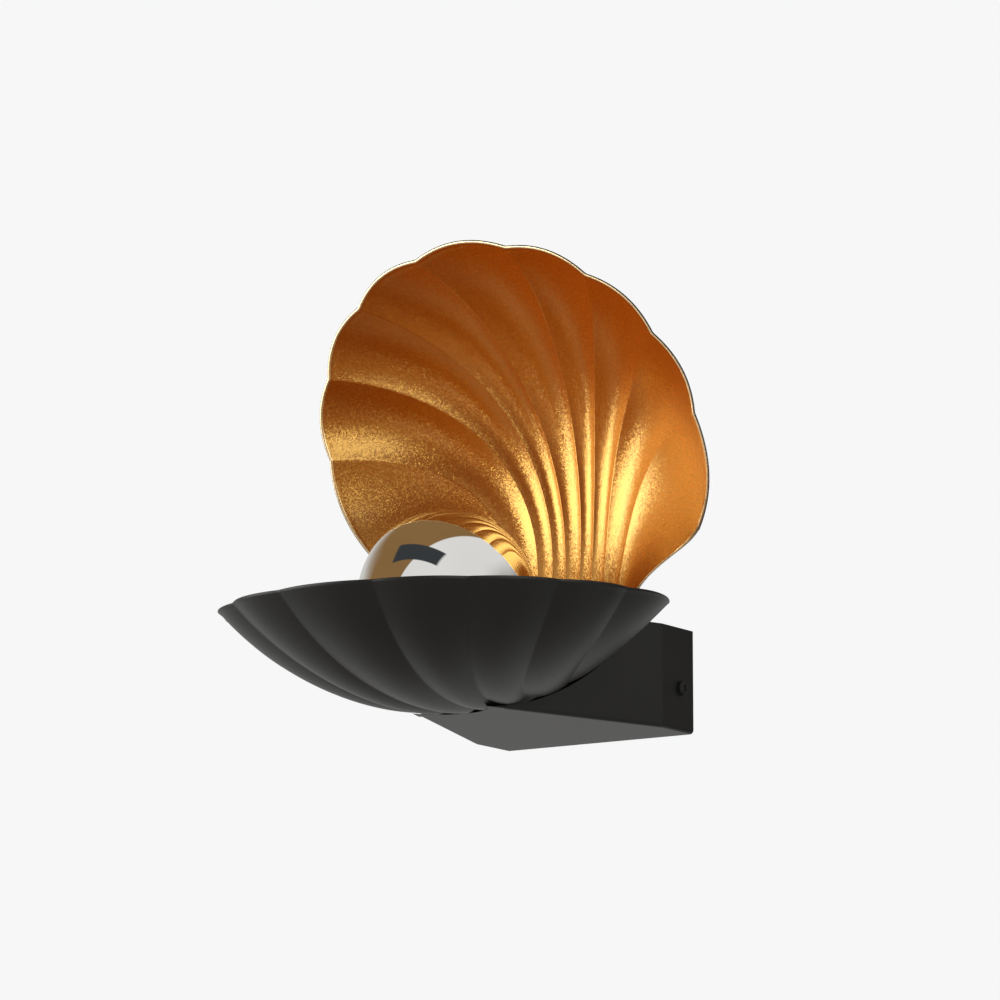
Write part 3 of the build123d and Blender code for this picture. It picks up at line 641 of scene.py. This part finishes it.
def make_floor():
    corners_xy = ((-1, -1), (1, -1), (1, 1), (-1, 1))
    verts = [(x * FLOOR_HALF, y * FLOOR_HALF, FLOOR_UP) for x, y in corners_xy]
    pale = plain_finish("floor_pale", (0.80, 0.80, 0.80), spread=0.02, roughness=0.8, grain=20.0)
    add_mesh("floor", verts, [(0, 1, 2, 3)], pale)


def on_flag(tree, way):
    """1 where a ray meets the dark flag, and 0 elsewhere."""
    middle = toward(*FLAG_AT)
    across = Vector((0, 0, 1)).cross(middle).normalized()
    inside = math_node(tree, "GREATER_THAN", along(tree, way, middle), FLAG_SIDE)
    for axis, half in zip((across, middle.cross(across)), FLAG_HALF_SIZE):
        off = math_node(tree, "ABSOLUTE", along(tree, way, axis))
        within = fall(tree, off, (half * FLAG_SOFT_FROM, half))
        inside = math_node(tree, "MULTIPLY", inside, within)
    return inside


def make_world():
    """Plain and pale to the camera and through glass. Reflections see a room with a window side,
    a brown ceiling, a dark flag and a grey back; diffuse light is weaker and slightly warm."""
    world = bpy.data.worlds.new("studio")
    scene.world = world
    world.use_nodes = True
    tree = world.node_tree
    way = node(tree, "ShaderNodeTexCoord").outputs["Generated"]
    climb = along(tree, way, (0, 0, 1))
    rightwards = along(tree, way, (1, 0, 0))
    inwards = along(tree, way, (0, 1, 0))
    window = rise(tree, along(tree, way, toward(*WINDOW_AT)), WINDOW_EDGE)

    high = blend_colours(tree, window, CEILING, WINDOW)
    low = blend_colours(tree, fall(tree, climb, FRONT_FALL), FRONT_LEVEL, FRONT_FLOOR)
    front = blend_colours(tree, rise(tree, climb, FRONT_RISE), low, high)
    back_right = blend_colours(tree, rise(tree, inwards, DEEP_CHANGE), BACK_RIGHT, BACK_DEEP)
    back = blend_colours(tree, rise(tree, rightwards, SIDE_CHANGE), BACK_LEFT, back_right)
    behind = rise(tree, inwards, BACK_CHANGE)
    behind_low = math_node(tree, "MULTIPLY", behind, fall(tree, climb, BACK_TOP))
    around = blend_colours(tree, behind_low, front, back)
    reflected = blend_colours(tree, on_flag(tree, way), around, FLAG)

    diffuse_high = blend_colours(tree, window, DIFFUSE_CEILING, DIFFUSE_WINDOW)
    diffuse = blend_colours(tree, rise(tree, climb, DIFFUSE_RISE), DIFFUSE_LOW, diffuse_high)

    ray = node(tree, "ShaderNodeLightPath").outputs
    lighting = blend_colours(tree, ray["Is Glossy Ray"], diffuse, reflected)
    seen = math_node(tree, "MAXIMUM", ray["Is Camera Ray"], ray["Is Transmission Ray"])
    colour = blend_colours(tree, seen, lighting, PALE_SEEN)
    tree.links.new(colour, tree.nodes["Background"].inputs["Color"])


def make_lamp(name, azimuth, elevation, size, power):
    """A soft lamp seen from LAMP_AIM at these angles."""
    away = toward(azimuth, elevation)
    data = bpy.data.lights.new(name, "AREA")
    data.shape = "RECTANGLE"
    data.size, data.size_y = size
    data.energy = power
    lamp = bpy.data.objects.new(name, data)
    lamp.location = LAMP_AIM + away * LAMP_DISTANCE
    lamp.rotation_euler = away.to_track_quat("Z", "Y").to_euler()
    scene.collection.objects.link(lamp)


def make_camera():
    away = toward(CAMERA_AZIMUTH, -CAMERA_RISE)
    data = bpy.data.cameras.new("camera")
    data.lens = CAMERA_LENS
    data.sensor_width = CAMERA_SENSOR
    data.shift_x, data.shift_y = CAMERA_SHIFT
    data.clip_end = CAMERA_CLIP_END
    camera = bpy.data.objects.new("camera", data)
    camera.location = CAMERA_TARGET + away * CAMERA_DISTANCE
    camera.rotation_euler = (-away).to_track_quat("-Z", "Y").to_euler()
    scene.collection.objects.link(camera)
    scene.camera = camera


make_floor()
make_world()
for name, lamp in LAMPS.items():
    make_lamp(name, *lamp)
make_camera()
